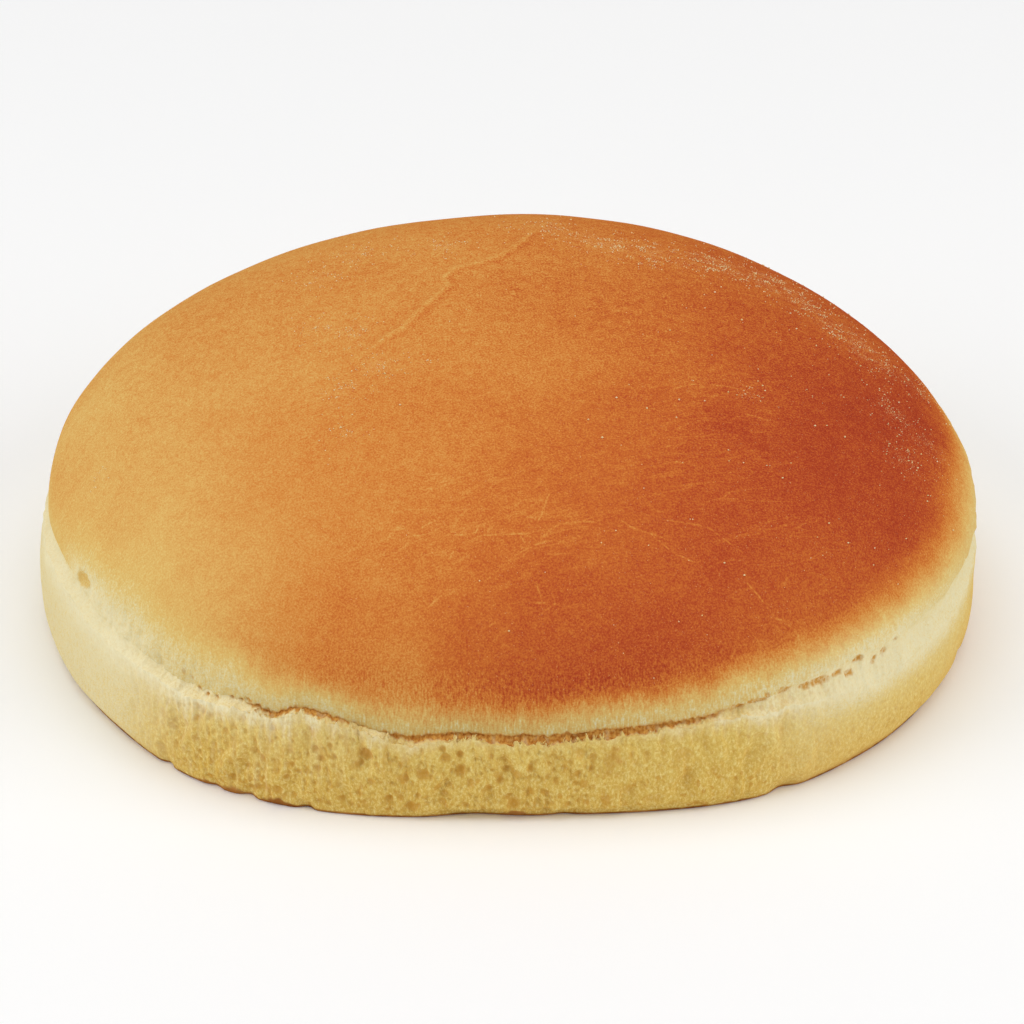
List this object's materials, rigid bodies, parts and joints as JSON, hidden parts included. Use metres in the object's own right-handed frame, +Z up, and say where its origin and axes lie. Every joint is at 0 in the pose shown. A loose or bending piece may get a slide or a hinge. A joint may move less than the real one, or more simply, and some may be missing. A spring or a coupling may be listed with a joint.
{
  "type": "pan bagnat bun",
  "caption": "Round soft wheat bun for a pan bagnat, with a flat base, a browned domed crust and a torn side of pale crumb under a ragged slit.",
  "frame": {"origin": "on the base, under the middle of the bun", "axes": "+Z up through the dome, -Y towards the torn side, +X towards the darker side of the crust"},
  "size_m": [0.1448, 0.139, 0.0495],
  "materials": {
    "bread": "satin browned crust over a matte pale crumb"
  },
  "bodies": {
    "root": {"bun": "bread"}
  },
  "joints": []
}
